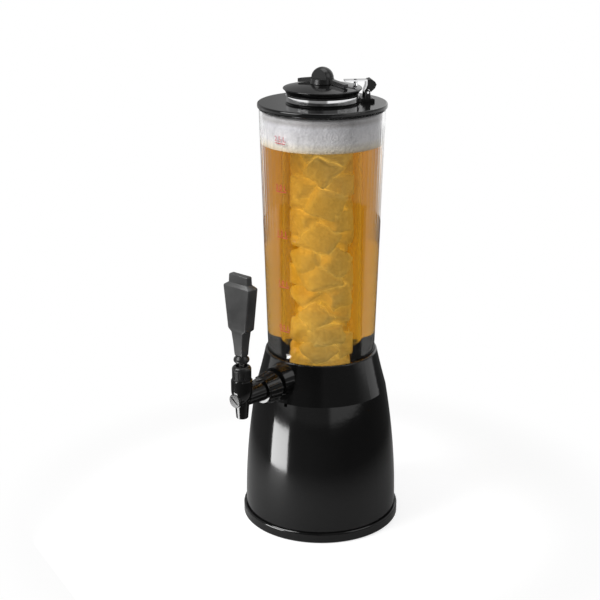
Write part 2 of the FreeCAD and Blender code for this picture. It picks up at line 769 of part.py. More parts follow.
# Lid: flange with rounded edge, plug rim inside the tank, neck and ribs under the disc
def lid():
    plug_r = tank_rim_r - tank_wall - 0.4 - tank_taper * lid_plug_depth
    edge = lid_edge
    outline = [
        line((neck_in_r, neck_top), (neck_in_r, lid_low)),
        line((neck_in_r, lid_low), (plug_r - lid_plug_wall, lid_low)),
        line((plug_r - lid_plug_wall, lid_low), (plug_r - lid_plug_wall, lid_low - lid_plug_depth)),
        line((plug_r - lid_plug_wall, lid_low - lid_plug_depth), (plug_r, lid_low - lid_plug_depth)),
        line((plug_r, lid_low - lid_plug_depth), (plug_r, lid_low)),
        line((plug_r, lid_low), (lid_r - edge, lid_low)),
        arc((lid_r - edge, lid_low), (lid_r - 0.3 * edge, lid_low + 0.3 * edge), (lid_r, lid_low + edge)),
        line((lid_r, lid_low + edge), (lid_r, lid_top - edge)),
        arc((lid_r, lid_top - edge), (lid_r - 0.3 * edge, lid_top - 0.3 * edge), (lid_r - edge, lid_top)),
        line((lid_r - edge, lid_top), (neck_out_r + 1.5, lid_top)),
        line((neck_out_r + 1.5, lid_top), (neck_out_r, lid_top + 1.0)),
        line((neck_out_r, lid_top + 1.0), (neck_out_r, neck_top)),
        line((neck_out_r, neck_top), (neck_in_r, neck_top)),
    ]
    body = edges_revolve(outline)
    rib_start = ice_flange_r + 0.6
    rib = Part.makeBox(plug_r - lid_plug_wall - rib_start + 0.6, lid_rib_thick, lid_rib_height + 0.5,
                       vec(rib_start, -lid_rib_thick / 2, lid_low - lid_rib_height))
    return fuse_all([body] + ring_of(rib, lid_rib_count, 15))


def lid_gasket():
    inner = tank_rim_r - tank_wall + 0.3
    ring = Part.makeCylinder(tank_rim_r - 0.2, lid_gasket_thick, vec(0, 0, tank_top_z))
    return ring.cut(Part.makeCylinder(inner, lid_gasket_thick, vec(0, 0, tank_top_z)))


# Ice tube: clear tube with a domed end, hung in the neck by a lugged collar
def ice_tube():
    low_in = ice_bottom_z + ice_wall
    round_r = 8.0
    rise = round_r * (1 - math.sqrt(0.5))
    inner_r = ice_r - ice_wall
    top = lid_low - fit_gap
    outline = [
        line((0, ice_bottom_z), (ice_r - round_r, ice_bottom_z)),
        arc((ice_r - round_r, ice_bottom_z), (ice_r - rise, ice_bottom_z + rise),
            (ice_r, ice_bottom_z + round_r)),
        line((ice_r, ice_bottom_z + round_r), (ice_r, top)),
        line((ice_r, top), (inner_r, top)),
        line((inner_r, top), (inner_r, low_in + round_r)),
        arc((inner_r, low_in + round_r), (inner_r - rise, low_in + rise),
            (inner_r - round_r, low_in)),
        line((inner_r - round_r, low_in), (0, low_in)),
        line((0, low_in), (0, ice_bottom_z)),
    ]
    return edges_revolve(outline)


def ice_tube_collar():
    # white ring bonded round the tube's top; its lugs hold in the neck
    low = lid_low - ice_collar_h - fit_gap
    ring = Part.makeCylinder(ice_collar_r, ice_collar_top_z - low, vec(0, 0, low))
    flange_low = lid_low - fit_gap - ice_flange_thick
    flange = Part.makeCylinder(ice_flange_r, ice_flange_thick, vec(0, 0, flange_low))
    body = fuse_all([ring, flange])
    tube_room = Part.makeCylinder(ice_r + 0.02, lid_low - fit_gap - low, vec(0, 0, low))
    bore = Part.makeCylinder(ice_r - ice_wall, 40, vec(0, 0, low))
    return body.cut(tube_room).cut(bore)


# Chrome band round the neck
def neck_band():
    ring = Part.makeCylinder(neck_out_r + pin_gap + band_thick, band_high - band_low, vec(0, 0, band_low))
    return ring.cut(Part.makeCylinder(neck_out_r + pin_gap, band_high - band_low, vec(0, 0, band_low)))


# Filler cap: a shallow dish edge over a conical skirt, with a plug into the neck
def filler_cap():
    outline = [
        line((0, cap_dome_z), (0, cap_dome_z - cap_thick)),
        line((0, cap_dome_z - cap_thick), (cap_plug_r - 2.0, cap_edge_z - 2.2)),
        line((cap_plug_r - 2.0, cap_edge_z - 2.2), (cap_plug_r - 2.0, cap_plug_low_z)),
        line((cap_plug_r - 2.0, cap_plug_low_z), (cap_plug_r, cap_plug_low_z)),
        line((cap_plug_r, cap_plug_low_z), (cap_plug_r, cap_low_z + cap_seal_thick)),
        line((cap_plug_r, cap_low_z + cap_seal_thick), (cap_skirt_r - 0.8, cap_low_z + cap_seal_thick)),
        line((cap_skirt_r - 0.8, cap_low_z + cap_seal_thick), (cap_skirt_r, cap_low_z + 1.0)),
        curve([(cap_skirt_r, cap_low_z + 1.0), (cap_skirt_r + 1.1, cap_low_z + 3.2),
               (cap_edge_r, cap_edge_z)]),
        arc((cap_edge_r, cap_edge_z), (cap_edge_r - 0.1, cap_edge_z + 0.7),
            (cap_edge_r - 1.0, cap_edge_z + 1.0)),
        dome_arc(cap_edge_r - 1.0, cap_edge_z + 1.0, cap_dome_z),
    ]
    return edges_revolve(outline)


def cap_seal():
    low = neck_top + 0.3
    ring = Part.makeCylinder(cap_skirt_r - 1.2, cap_low_z + cap_seal_thick - low, vec(0, 0, low))
    return ring.cut(Part.makeCylinder(cap_plug_r + 0.1, cap_seal_thick + 5, vec(0, 0, low)))


# Wing knob: a half-round dome standing across the cap, with two drooping arms
def cap_knob():
    half = knob_length / 2
    arm = Part.Face(Part.makePolygon([
        vec(0, 0, knob_arm_z + 3.0),
        vec(half, 0, knob_arm_z + 3.0 - knob_arm_droop),
        vec(half, 0, knob_arm_z - 2.2 - knob_arm_droop + 1.6),
        vec(0, 0, knob_arm_z - 2.2),
        vec(0, 0, knob_arm_z + 3.0),
    ])).extrude(vec(0, knob_thick, 0))
    arm.translate(vec(0, -knob_thick / 2, 3.0))
    arm = arm.makeFillet(0.9, [e for e in arm.Edges if e.BoundBox.XMin > half - 0.1])
    other = turned(arm, 180)
    dome = Part.makeSphere(knob_dome_r, vec(0, 0, knob_apex_z - knob_dome_r))
    slab = Part.makeBox(4 * knob_dome_r, 11.0, 2 * knob_dome_r,
                        vec(-2 * knob_dome_r, -5.5, knob_apex_z - knob_dome_r))
    foot = Part.makeCone(knob_foot_r, knob_dome_r, knob_apex_z - knob_dome_r - cap_dome_z,
                         vec(0, 0, cap_dome_z))
    body = fuse_all([arm, other, dome.common(slab.fuse(foot)), foot])
    return body


# Hinge: foot on the lid, pin, chrome strap and black thumb lever
def hinge_place(shape):
    return turned(shape, hinge_turn)


def side_plate(points, width):
    # closed outline in radius and height, as thick as width, centred on the hinge plane
    corners = [vec(r, -width / 2, z) for r, z in points]
    face = Part.Face(Part.makePolygon(corners + [corners[0]]))
    return face.extrude(vec(0, width, 0))


def hinge_foot():
    foot_width = hinge_width + 2 * (lug_thick + lug_gap)
    plate = side_plate([(foot_in_r, lid_top), (foot_out_r, lid_top), (foot_out_r, foot_top_z - 1.0),
                        (foot_out_r - 1.5, foot_top_z), (foot_in_r, foot_top_z)], foot_width)
    parts = [plate]
    for side in (-1, 1):
        lug = side_plate([(hinge_r - knuckle_r, foot_top_z - 1.0), (hinge_r + knuckle_r, foot_top_z - 1.0),
                          (hinge_r + lug_r, hinge_z), (hinge_r - lug_r, hinge_z)], lug_thick)
        round_top = Part.makeCylinder(lug_r, lug_thick, vec(hinge_r, -lug_thick / 2, hinge_z), vec(0, 1, 0))
        both = lug.fuse(round_top)
        both.translate(vec(0, side * (foot_width - lug_thick) / 2, 0))
        parts.append(both)
    body = fuse_all(parts)
    hole = Part.makeCylinder(hinge_pin_r + press_gap, 40, vec(hinge_r, -20, hinge_z), vec(0, 1, 0))
    return hinge_place(body.cut(hole))


def hinge_pin():
    length = hinge_width + 2 * (lug_thick + lug_gap) + 1.0
    pin = Part.makeCylinder(hinge_pin_r, length, vec(hinge_r, -length / 2, hinge_z), vec(0, 1, 0))
    return hinge_place(pin)


def strap():
    # bent strip: flat on the cap, over its edge and down to the pin
    t = strap_thick
    top = side_plate([(strap_end_r, strap_z - t), (lever_in_top(), strap_z - t),
                      (lever_in_top(), strap_z), (strap_end_r, strap_z)], strap_width)
    inner = lever_inner_line()
    back = [(r - t - 0.02, z) for r, z in inner]
    down = side_plate(inner + back[::-1], strap_width)
    knuckle = Part.makeCylinder(knuckle_r, strap_width, vec(hinge_r, -strap_width / 2, hinge_z), vec(0, 1, 0))
    body = fuse_all([top, down, knuckle])
    bore = Part.makeCylinder(hinge_pin_r + pin_gap, 40, vec(hinge_r, -20, hinge_z), vec(0, 1, 0))
    rivet_hole = Part.makeCylinder(rivet_post_r + press_gap, 10, vec(rivet_ring_r, 0, strap_z - 5))
    return hinge_place(body.cut(bore).cut(rivet_hole))


def lever_in_top():
    return hinge_r + 0.2


def lever_inner_line():
    # inner outline of the thumb lever, where the strap lies
    return [(lever_in_top(), strap_z), (lever_in_top(), strap_z - 5.0),
            (hinge_r - knuckle_r + 1.0, hinge_z + 1.4)]


def thumb_lever():
    inner = [(r + 0.05, z) for r, z in lever_inner_line()]
    outer = [(hinge_r + 3.4, hinge_z + 0.2), (lever_out_r - 1.6, hinge_z + 3.4),
             (lever_out_r, hinge_z + 7.0), (lever_out_r - 1.4, lever_top_z - 2.6),
             (lever_out_r - 5.0, lever_top_z)]
    plate = side_plate(inner + outer, hinge_width)
    room = Part.makeCylinder(knuckle_r + 0.05, 40, vec(hinge_r, -20, hinge_z), vec(0, 1, 0))
    return hinge_place(plate.cut(room))


def strap_rivet():
    low = cap_edge_z - 1.0
    post = Part.makeCylinder(rivet_post_r, strap_z - low, vec(rivet_ring_r, 0, low))
    head = Part.makeCylinder(rivet_r, rivet_head_h, vec(rivet_ring_r, 0, strap_z))
    spacer_len = strap_z - strap_thick - press_gap - cap_edge_z
    spacer = Part.makeCylinder(rivet_r, spacer_len, vec(rivet_ring_r, 0, cap_edge_z))
    body = fuse_all([post, head, spacer])
    return hinge_place(body).cut(filler_cap())


def main():
    save("base_plate", base_plate())
    save("base_pad", base_pad())
    plate_screw = screw(screw_r, screw_bite, screw_head_r, screw_head_h, plate_screw_ring_r,
                        plate_floor - plate_screw_web - screw_head_h)
    save("plate_screws", Part.makeCompound(ring_of(plate_screw, plate_screw_count)))
    save("lower_shell", lower_shell())
    deck_screw = screw(collar_screw_r, collar_screw_bite, collar_screw_head_r, collar_screw_head_h,
                       collar_post_ring_r, deck_top - deck_thick - collar_screw_head_h)
    save("collar_screws", Part.makeCompound(ring_of(deck_screw, collar_screw_count, collar_screw_start)))
    save("collar", collar())
    save("tank", tank())
    save("tank_seat_ring", tank_seat_ring())
    save("shank", shank())
    save("shank_gasket_inner", washer_ring(gasket_r, shank_r + pin_gap, pad_in_y - gasket_in_thick,
                                           gasket_in_thick))
    save("shank_gasket_outer", washer_ring(gasket_r, shank_r + pin_gap, pad_out_y, gasket_out_thick))
    save("shank_locknut", shank_locknut())
    save("coupling_nut", coupling_nut())
    save("coupling_gasket", washer_ring(inlet_flange_r - 0.3, shank_bore_r + 0.5, shank_end_y,
                                        coupling_gasket_thick))
    save("faucet_body", faucet_body())
    save("front_plug", front_plug())
    save("valve_shaft", valve_shaft())
    save("seat_washer", seat_washer())
    save("shaft_nut", shaft_nut())
    save("ball_washer", ball_ring(ball_washer_low, ball_washer_top, ball_washer_r))
    save("friction_washer", ball_ring(friction_low, friction_top, neck_r))
    save("bonnet", bonnet())
    save("tap_lever", tap_lever())
    save("ferrule", ferrule())
    save("tap_handle", tap_handle())
    save("lid", lid())
    save("lid_gasket", lid_gasket())
    save("ice_tube", ice_tube())
    save("ice_tube_collar", ice_tube_collar())
    save("neck_band", neck_band())
    save("filler_cap", filler_cap())
    save("cap_seal", cap_seal())
    save("cap_knob", cap_knob())
    save("hinge_foot", hinge_foot())
    save("hinge_pin", hinge_pin())
    save("strap", strap())
    save("thumb_lever", thumb_lever())
    save("strap_rivet", strap_rivet())


main()
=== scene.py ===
import json
import math
import random

import bmesh
import bpy
from mathutils import Matrix, Vector, noise


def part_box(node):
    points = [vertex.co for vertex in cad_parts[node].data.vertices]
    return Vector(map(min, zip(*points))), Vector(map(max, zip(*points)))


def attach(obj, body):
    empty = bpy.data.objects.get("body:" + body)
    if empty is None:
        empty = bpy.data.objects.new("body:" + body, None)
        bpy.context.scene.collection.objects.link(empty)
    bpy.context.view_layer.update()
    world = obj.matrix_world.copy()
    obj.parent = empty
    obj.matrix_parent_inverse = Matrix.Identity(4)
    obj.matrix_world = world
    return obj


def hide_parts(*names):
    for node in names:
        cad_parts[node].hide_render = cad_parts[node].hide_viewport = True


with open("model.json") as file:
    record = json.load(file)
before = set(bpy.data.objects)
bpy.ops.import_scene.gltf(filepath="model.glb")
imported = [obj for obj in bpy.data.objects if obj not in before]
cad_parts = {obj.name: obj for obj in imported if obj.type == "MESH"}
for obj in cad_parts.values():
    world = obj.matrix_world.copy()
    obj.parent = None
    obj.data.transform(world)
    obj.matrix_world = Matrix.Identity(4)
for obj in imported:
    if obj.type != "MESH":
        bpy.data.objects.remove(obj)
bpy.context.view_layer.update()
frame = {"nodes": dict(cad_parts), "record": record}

# Lengths are in metres
MM = 0.001
SEED = 11

# Camera of the photograph: where it stands and how it looks at the tower
CAM_AZIMUTH = math.radians(41.0)
CAM_DISTANCE = 1.2876
CAM_HEIGHT = 0.6637
CAM_PITCH = math.radians(18.6)
CAM_YAW = math.radians(0.952)
CAM_FOCAL_PX = 1357.0
IMAGE_PX = 600
SENSOR = 36.0

# Tank shape: its wall, its floor and how much its radius falls per metre of height
TANK_WALL = 3.0 * MM
TANK_FLOOR = 4.0 * MM
TANK_TAPER = 0.030

# Contents of the tank
CLEARANCE = 0.05 * MM
AXIS_RADIUS = 0.1 * MM
BEER_TOP = 391.5 * MM
FOAM_TOP = 423.5 * MM
FOAM_UNDER_LID = 415.7 * MM
PLUG_GAP = 0.67 * MM
ICE_LOW = 156.0 * MM
ICE_TOP = 403.0 * MM
ICE_LAYER = 18.5 * MM
ICE_CLEARANCE = 6.0 * MM

# Volume marks
TAP_AZIMUTH = math.radians(-90.0)
MARK_STEPS = ["2.5", "2.0", "1.5", "1.0", "0.5"]
MARK_HEIGHTS = [399.0 * MM, 352.6 * MM, 307.6 * MM, 257.4 * MM, 211.8 * MM]
MARK_SIZE = 7.0 * MM
MARK_RISE = 1.8 * MM
MARK_LIFT = 0.08 * MM
LINE_HALF_LENGTH = 6.5 * MM
LINE_HALF_WIDTH = 0.4 * MM

# Edges steeper than this stay sharp in the shading
SHARP_ANGLE = math.radians(35)

random.seed(SEED)


# Node helpers
def material(name):
    mat = bpy.data.materials.new(name)
    mat.use_nodes = True
    shader = mat.node_tree.nodes["Principled BSDF"]
    return mat, mat.node_tree.nodes, mat.node_tree.links, shader


def set_sockets(shader, **values):
    for key, value in values.items():
        shader.inputs[key.replace("_", " ")].default_value = value


def noise_node(nodes, links, scale, detail=3.0, rough=0.5, stretch=(1, 1, 1)):
    coords = nodes.new("ShaderNodeTexCoord")
    mapping = nodes.new("ShaderNodeMapping")
    mapping.inputs["Scale"].default_value = stretch
    tex = nodes.new("ShaderNodeTexNoise")
    tex.inputs["Scale"].default_value = scale
    tex.inputs["Detail"].default_value = detail
    tex.inputs["Roughness"].default_value = rough
    links.new(coords.outputs["Object"], mapping.inputs["Vector"])
    links.new(mapping.outputs["Vector"], tex.inputs["Vector"])
    return tex


def ramp(nodes, links, source, stops):
    node = nodes.new("ShaderNodeValToRGB")
    while len(node.color_ramp.elements) < len(stops):
        node.color_ramp.elements.new(0.5)
    for element, (place, colour) in zip(node.color_ramp.elements, stops):
        element.position = place
        element.color = tuple(colour) + (1.0,) if len(colour) == 3 else colour
    links.new(source, node.inputs["Fac"])
    return node


def vary(nodes, links, noise_source, socket, stops):
    # the noise picks the socket's value between the stops
    node = ramp(nodes, links, noise_source.outputs["Fac"], stops)
    links.new(node.outputs["Color"], socket)


def bump(nodes, links, source, shader, strength, distance):
    node = nodes.new("ShaderNodeBump")
    node.inputs["Strength"].default_value = strength
    node.inputs["Distance"].default_value = distance
    links.new(source, node.inputs["Height"])
    links.new(node.outputs["Normal"], shader.inputs["Normal"])
    return node


def grey(v):
    return (v, v, v)


def gloss_black():
    mat, nodes, links, shader = material("gloss_black")
    smears = noise_node(nodes, links, 18.0, 5.0, 0.6, (1, 1, 0.35))
    vary(nodes, links, smears, shader.inputs["Base Color"], [
        (0.3, grey(0.003)), (0.75, grey(0.007))])
    vary(nodes, links, smears, shader.inputs["Roughness"], [(0.3, grey(0.06)), (0.8, grey(0.14))])
    peel = noise_node(nodes, links, 260.0, 2.0)
    bump(nodes, links, peel.outputs["Fac"], shader, 0.05, 0.0004)
    set_sockets(shader, IOR=1.46)
    return mat


def worn_black(name, grain_scale, wear_noise, tones, gloss, grain_depth):
    # a matt to satin black with a fine grain and slow changes of tone and gloss
    mat, nodes, links, shader = material(name)
    grain = noise_node(nodes, links, grain_scale, 3.0)
    wear = noise_node(nodes, links, *wear_noise)
    vary(nodes, links, wear, shader.inputs["Base Color"], tones)
    vary(nodes, links, wear, shader.inputs["Roughness"], [
        (0.3, grey(gloss[0])), (0.8, grey(gloss[1]))])
    bump(nodes, links, grain.outputs["Fac"], shader, grain_depth, 0.0003)
    return mat


def satin_black():
    tones = [(0.35, grey(0.006)), (0.75, grey(0.014))]
    return worn_black("satin_black", 900.0, (30.0, 4.0), tones, (0.24, 0.38), 0.12)


def handle_black():
    tones = [(0.35, grey(0.040)), (0.7, grey(0.062))]
    return worn_black("handle_black", 700.0, (45.0, 5.0, 0.6), tones, (0.32, 0.46), 0.10)


def chrome():
    mat, nodes, links, shader = material("bright_chrome")
    smudge = noise_node(nodes, links, 60.0, 4.0)
    vary(nodes, links, smudge, shader.inputs["Base Color"], [
        (0.3, (0.82, 0.82, 0.83)), (0.7, (0.93, 0.93, 0.94))])
    vary(nodes, links, smudge, shader.inputs["Roughness"], [(0.3, grey(0.05)), (0.8, grey(0.16))])
    set_sockets(shader, Metallic=1.0)
    return mat


def turned_steel():
    mat, nodes, links, shader = material("turned_steel")
    lines = noise_node(nodes, links, 300.0, 3.0, 0.5, (1, 1, 6))
    vary(nodes, links, lines, shader.inputs["Base Color"], [
        (0.3, (0.45, 0.45, 0.44)), (0.7, (0.66, 0.66, 0.65))])
    vary(nodes, links, lines, shader.inputs["Roughness"], [(0.3, grey(0.22)), (0.8, grey(0.4))])
    bump(nodes, links, lines.outputs["Fac"], shader, 0.15, 0.0002)
    set_sockets(shader, Metallic=1.0)
    return mat


def matt_rubber():
    mat, nodes, links, shader = material("matt_rubber")
    grain = noise_node(nodes, links, 1200.0, 2.0)
    tone = noise_node(nodes, links, 40.0, 3.0)
    vary(nodes, links, tone, shader.inputs["Base Color"], [(0.3, grey(0.018)), (0.7, grey(0.035))])
    bump(nodes, links, grain.outputs["Fac"], shader, 0.3, 0.0003)
    set_sockets(shader, Roughness=0.75)
    return mat


def white_moulding():
    mat, nodes, links, shader = material("white_moulding")
    tone = noise_node(nodes, links, 35.0, 3.0)
    vary(nodes, links, tone, shader.inputs["Base Color"], [
        (0.3, (0.72, 0.71, 0.68)), (0.7, (0.82, 0.81, 0.79))])
    set_sockets(shader, Roughness=0.4)
    return mat


def pass_light(nodes, links, shader, tint):
    # lamps and bounced light reach the contents straight through this surface
    path = nodes.new("ShaderNodeLightPath")
    either = nodes.new("ShaderNodeMath")
    either.operation = "MAXIMUM"
    links.new(path.outputs["Is Shadow Ray"], either.inputs[0])
    links.new(path.outputs["Is Diffuse Ray"], either.inputs[1])
    through = nodes.new("ShaderNodeBsdfTransparent")
    through.inputs["Color"].default_value = tint
    mix = nodes.new("ShaderNodeMixShader")
    links.new(either.outputs["Value"], mix.inputs["Fac"])
    links.new(shader.outputs["BSDF"], mix.inputs[1])
    links.new(through.outputs["BSDF"], mix.inputs[2])
    links.new(mix.outputs["Shader"], nodes["Material Output"].inputs["Surface"])


def clear_plastic():
    mat, nodes, links, shader = material("clear_plastic")
    smudge = noise_node(nodes, links, 25.0, 4.0, 0.6, (1, 1, 0.4))
    vary(nodes, links, smudge, shader.inputs["Roughness"], [(0.4, grey(0.0)), (0.9, grey(0.05))])
    shader.inputs["Base Color"].default_value = (1.0, 1.0, 1.0, 1.0)
    shader.inputs["Transmission Weight"].default_value = 1.0
    shader.inputs["IOR"].default_value = 1.49
    pass_light(nodes, links, shader, (0.97, 0.97, 0.97, 1.0))
    return mat


def beer_liquid():
    mat, nodes, links, shader = material("beer_liquid")
    cloud = noise_node(nodes, links, 30.0, 3.0)
    vary(nodes, links, cloud, shader.inputs["Base Color"], [
        (0.3, (0.97, 0.95, 0.88)), (0.7, (1.0, 0.99, 0.96))])
    shader.inputs["Transmission Weight"].default_value = 1.0
    shader.inputs["IOR"].default_value = 1.34
    shader.inputs["Roughness"].default_value = 0.0
    pass_light(nodes, links, shader, (1.0, 1.0, 1.0, 1.0))
    absorb = nodes.new("ShaderNodeVolumeAbsorption")
    absorb.inputs["Color"].default_value = (0.895, 0.755, 0.20, 1.0)
    absorb.inputs["Density"].default_value = 68.0
    output = nodes["Material Output"]
    links.new(absorb.outputs["Volume"], output.inputs["Volume"])
    return mat


def wetted_wall():
    # where the beer touches the ice tube there is no bend of light of its own
    mat, nodes, links, shader = material("wetted_wall")
    clear = nodes.new("ShaderNodeBsdfTransparent")
    film = noise_node(nodes, links, 30.0, 3.0)
    vary(nodes, links, film, clear.inputs["Color"], [
        (0.3, (0.985, 0.975, 0.95)), (0.7, (1.0, 0.995, 0.98))])
    links.new(clear.outputs["BSDF"], nodes["Material Output"].inputs["Surface"])
    return mat


def darken(nodes, links, first, second):
    # one colour multiplied by another
    mix = nodes.new("ShaderNodeMix")
    mix.data_type = "RGBA"
    mix.blend_type = "MULTIPLY"
    mix.inputs["Factor"].default_value = 1.0
    links.new(first, mix.inputs["A"])
    links.new(second, mix.inputs["B"])
    return mix.outputs["Result"]


def beer_foam():
    mat, nodes, links, shader = material("beer_foam")
    coords = nodes.new("ShaderNodeTexCoord")
    split = nodes.new("ShaderNodeSeparateXYZ")
    links.new(coords.outputs["Object"], split.inputs["Vector"])
    level = nodes.new("ShaderNodeMapRange")
    links.new(split.outputs["Z"], level.inputs["Value"])
    level.inputs["From Min"].default_value = BEER_TOP
    level.inputs["From Max"].default_value = FOAM_TOP
    # colour by height: beer-tinted cream at the bottom and white above it, then a grey band at the
    # top that is painted shadow under the lid
    beer_tint_and_lid_shadow = ramp(nodes, links, level.outputs["Result"], [
        (0.0, (0.74, 0.58, 0.36)), (0.10, (0.88, 0.80, 0.66)), (0.30, (0.90, 0.88, 0.88)),
        (0.72, (0.86, 0.85, 0.88)), (0.84, (0.55, 0.53, 0.53)), (0.93, (0.66, 0.65, 0.66)),
        (1.0, (0.34, 0.33, 0.33))])
    cloud = noise_node(nodes, links, 70.0, 6.0, 0.7)
    patches = ramp(nodes, links, cloud.outputs["Fac"], [
        (0.30, grey(0.72)), (0.55, grey(0.95)), (0.7, grey(1.0))])
    cells = nodes.new("ShaderNodeTexVoronoi")
    cells.inputs["Scale"].default_value = 420.0
    links.new(coords.outputs["Object"], cells.inputs["Vector"])
    # painted shade: each bubble cell of the foam is darker towards its pit
    pit_shade = ramp(nodes, links, cells.outputs["Distance"], [(0.0, grey(0.86)), (0.35, grey(1.0))])
    patched = darken(nodes, links, beer_tint_and_lid_shadow.outputs["Color"], patches.outputs["Color"])
    pitted = darken(nodes, links, patched, pit_shade.outputs["Color"])
    links.new(pitted, shader.inputs["Base Color"])
    bump(nodes, links, cells.outputs["Distance"], shader, 0.4, 0.0010)
    set_sockets(shader, Roughness=0.6)
    return mat


def ice():
    mat, nodes, links, shader = material("ice")
    cloud = noise_node(nodes, links, 60.0, 7.0, 0.7)
    vary(nodes, links, cloud, shader.inputs["Base Color"], [
        (0.30, (0.80, 0.74, 0.62)), (0.45, (0.95, 0.93, 0.88)), (0.66, (1.0, 0.99, 0.97))])
    vary(nodes, links, cloud, shader.inputs["Roughness"], [(0.3, grey(0.1)), (0.75, grey(0.4))])
    frost_and_glow = noise_node(nodes, links, 420.0, 4.0, 0.7)
    rough = nodes.new("ShaderNodeBump")
    rough.inputs["Strength"].default_value = 0.35
    rough.inputs["Distance"].default_value = 0.0005
    links.new(frost_and_glow.outputs["Fac"], rough.inputs["Height"])
    wide = bump(nodes, links, cloud.outputs["Fac"], shader, 0.35, 0.0015)
    links.new(rough.outputs["Normal"], wide.inputs["Normal"])
    shader.inputs["Transmission Weight"].default_value = 0.10
    shader.inputs["IOR"].default_value = 1.31
    # painted glow: the ice gives off a faint patterned light of its own, standing in for backlight
    # coming through the beer; the same noise also drives the frost bump
    vary(nodes, links, frost_and_glow, shader.inputs["Emission Color"], [
        (0.36, (0.45, 0.40, 0.32)), (0.55, (0.80, 0.75, 0.66)), (0.68, (1.0, 0.97, 0.9))])
    shader.inputs["Emission Strength"].default_value = 0.36
    return mat


def red_print():
    mat, nodes, links, shader = material("red_print")
    fade = noise_node(nodes, links, 400.0, 3.0)
    vary(nodes, links, fade, shader.inputs["Base Color"], [
        (0.3, (0.50, 0.03, 0.05)), (0.7, (0.62, 0.06, 0.09))])
    set_sockets(shader, Roughness=0.5)
    return mat


# Finish of the carried-over pieces
def dress_nodes():
    # returns the finishes that the scene's own pieces share
    by_slot = {
        "gloss_black": gloss_black(),
        "clear_plastic": clear_plastic(),
        "white_plastic": white_moulding(),
        "chrome": chrome(),
        "steel": turned_steel(),
        "rubber": matt_rubber(),
    }
    satin = satin_black()
    by_slot["satin"] = satin
    softer = ("thumb_lever", "hinge_foot", "cap_knob", "ferrule", "bonnet", "front_plug")
    for part in frame["record"]["subparts"]:
        obj = frame["nodes"][part["node"]]
        finish = satin if part["node"] in softer else by_slot[part["material_slot"]]
        obj.data.materials.clear()
        obj.data.materials.append(finish)
    return by_slot


# Mesh helpers
def mesh_object(name, verts, faces, mat, smooth=True):
    mesh = bpy.data.meshes.new(name)
    mesh.from_pydata(verts, [], faces)
    mesh.materials.append(mat)
    mesh.update()
    obj = bpy.data.objects.new(name, mesh)
    bpy.context.scene.collection.objects.link(obj)
    if smooth:
        mesh.shade_smooth()
        mesh.set_sharp_from_angle(angle=SHARP_ANGLE)
    return obj


def turned_faces(steps, count):
    # quads from each section of count points to the next, all the way round
    faces = []
    for i in range(steps):
        this, following = i * count, (i + 1) % steps * count
        for j in range(count):
            k = (j + 1) % count
            faces.append((this + j, following + j, following + k, this + k))
    return faces


def lathe(name, profile, mat, steps=128):
    # a closed profile of radius and height pairs turned about Z
    verts = []
    for i in range(steps):
        angle = 2 * math.pi * i / steps
        verts += [(r * math.cos(angle), r * math.sin(angle), z) for r, z in profile]
    return mesh_object(name, verts, turned_faces(steps, len(profile)), mat)


def tank_inner(z):
    # inner radius of the tapered tank, read from its own box
    low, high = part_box("tank")
    top_r = high[0]
    return top_r - TANK_WALL - TANK_TAPER * (high[2] - z)


def beer(mat):
    ice_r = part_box("ice_tube")[1][0]
    floor_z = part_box("tank")[0][2] + TANK_FLOOR + CLEARANCE
    ice_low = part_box("ice_tube")[0][2] - CLEARANCE
    inner = ice_r + CLEARANCE
    profile = [(AXIS_RADIUS, floor_z)]
    profile += [(tank_inner(z) - CLEARANCE, z) for z in (floor_z, 0.2, 0.26, 0.33, BEER_TOP)]
    profile += [(inner, BEER_TOP), (inner, ice_low), (AXIS_RADIUS, ice_low)]
    piece = lathe("beer", profile, mat)
    piece.data.materials.append(wetted_wall())
    for face in piece.data.polygons:
        corners = [piece.data.vertices[v].co for v in face.vertices]
        if all(abs(math.hypot(*corner.xy) - inner) < CLEARANCE for corner in corners):
            face.material_index = 1
    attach(piece, "tower")


def foam(mat):
    # a ring between tank and ice tube, with a shallow wavy top under the lid
    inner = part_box("ice_tube")[1][0] + CLEARANCE
    low = BEER_TOP + CLEARANCE
    plug_r = tank_inner(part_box("tank")[1][2]) - PLUG_GAP + 0.08 * MM
    steps = 160
    rows = 8
    verts = []
    for i in range(steps):
        angle = 2 * math.pi * i / steps
        cos, sin = math.cos(angle), math.sin(angle)
        ring = [(inner, low), (tank_inner(low) - CLEARANCE, low)]
        ring.append((tank_inner(FOAM_TOP) - CLEARANCE, FOAM_TOP))
        ring.append((plug_r, FOAM_TOP))
        for k in range(rows):
            r = plug_r + (inner - plug_r) * k / rows
            wave = abs(noise.noise(Vector((r * cos * 90, r * sin * 90, 1))))
            ring.append((r, FOAM_UNDER_LID - 0.9 * MM * wave))
        ring.append((inner, FOAM_UNDER_LID - 0.5 * MM))
        verts += [(r * cos, r * sin, z) for r, z in ring]
    piece = mesh_object("foam", verts, turned_faces(steps, len(verts) // steps), mat)
    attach(piece, "tower")


def lump(size, seed):
    # a rounded, worn cube of ice as a small mesh
    bm = bmesh.new()
    bmesh.ops.create_cube(bm, size=1.0)
    bmesh.ops.subdivide_edges(bm, edges=bm.edges[:], cuts=5, use_grid_fill=True)
    for v in bm.verts:
        p = v.co.copy()
        ball = p.normalized() * 0.62
        p = p.lerp(ball, 0.35)
        shake = noise.noise(p * 2.6 + Vector((seed * 3.7, seed * 1.3, seed)))
        fine = noise.noise(p * 7.0 + Vector((seed, seed * 2.0, 5.0)))
        v.co = p * (1.0 + 0.22 * shake + 0.06 * fine)
        v.co = Vector((v.co.x * size[0], v.co.y * size[1], v.co.z * size[2]))
    return bm


